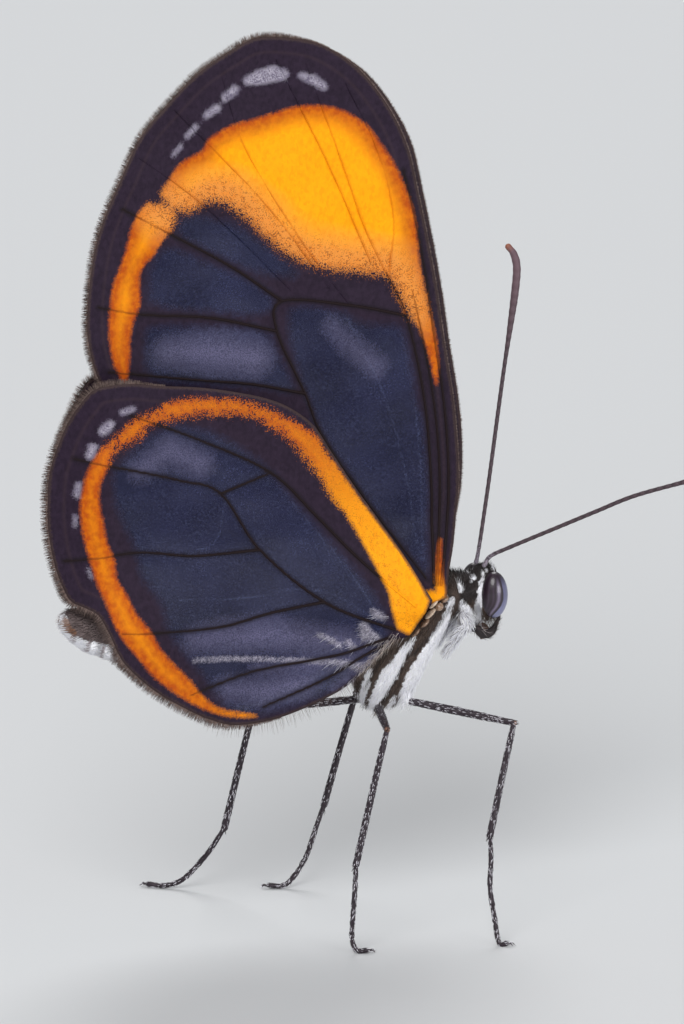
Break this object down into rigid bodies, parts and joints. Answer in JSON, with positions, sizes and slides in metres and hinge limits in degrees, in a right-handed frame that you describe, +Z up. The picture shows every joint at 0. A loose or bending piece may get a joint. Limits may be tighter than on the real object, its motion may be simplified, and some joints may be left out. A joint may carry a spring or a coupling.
{
  "type": "brevioleria arzalia butterfly",
  "caption": "Small clear-winged butterfly at rest on slim legs, wings closed upright over its back, long antennae, slender abdomen behind; a still life-size display model.",
  "frame": {"origin": "middle of the model's box, on the floor that its feet stand on", "axes": "+Z up, +X the way the animal faces, +Y to its left"},
  "size_m": [0.0288, 0.0134, 0.0367],
  "materials": {
    "thorax": "matte",
    "abdomen": "matte",
    "head": "matte",
    "eye": "gloss",
    "palp": "matte",
    "antenna": "matte",
    "forewing": "satin",
    "hindwing": "satin",
    "foreleg": "matte",
    "proboscis": "satin",
    "leg": "matte"
  },
  "bodies": {
    "root": {"thorax": "thorax", "abdomen": "abdomen", "head": "head", "eye_right": "eye", "palp_right": "palp", "antenna_right": "antenna", "forewing_right": "forewing", "hindwing_right": "hindwing", "foreleg_right": "foreleg", "eye_left": "eye", "palp_left": "palp", "antenna_left": "antenna", "forewing_left": "forewing", "hindwing_left": "hindwing", "foreleg_left": "foreleg", "proboscis": "proboscis", "femur_mid_right": "leg", "tibia_mid_right": "leg", "tarsus_mid_right": "leg", "femur_hind_right": "leg", "tibia_hind_right": "leg", "tarsus_hind_right": "leg", "femur_mid_left": "leg", "tibia_mid_left": "leg", "tarsus_mid_left": "leg", "femur_hind_left": "leg", "tibia_hind_left": "leg", "tarsus_hind_left": "leg"}
  },
  "joints": []
}
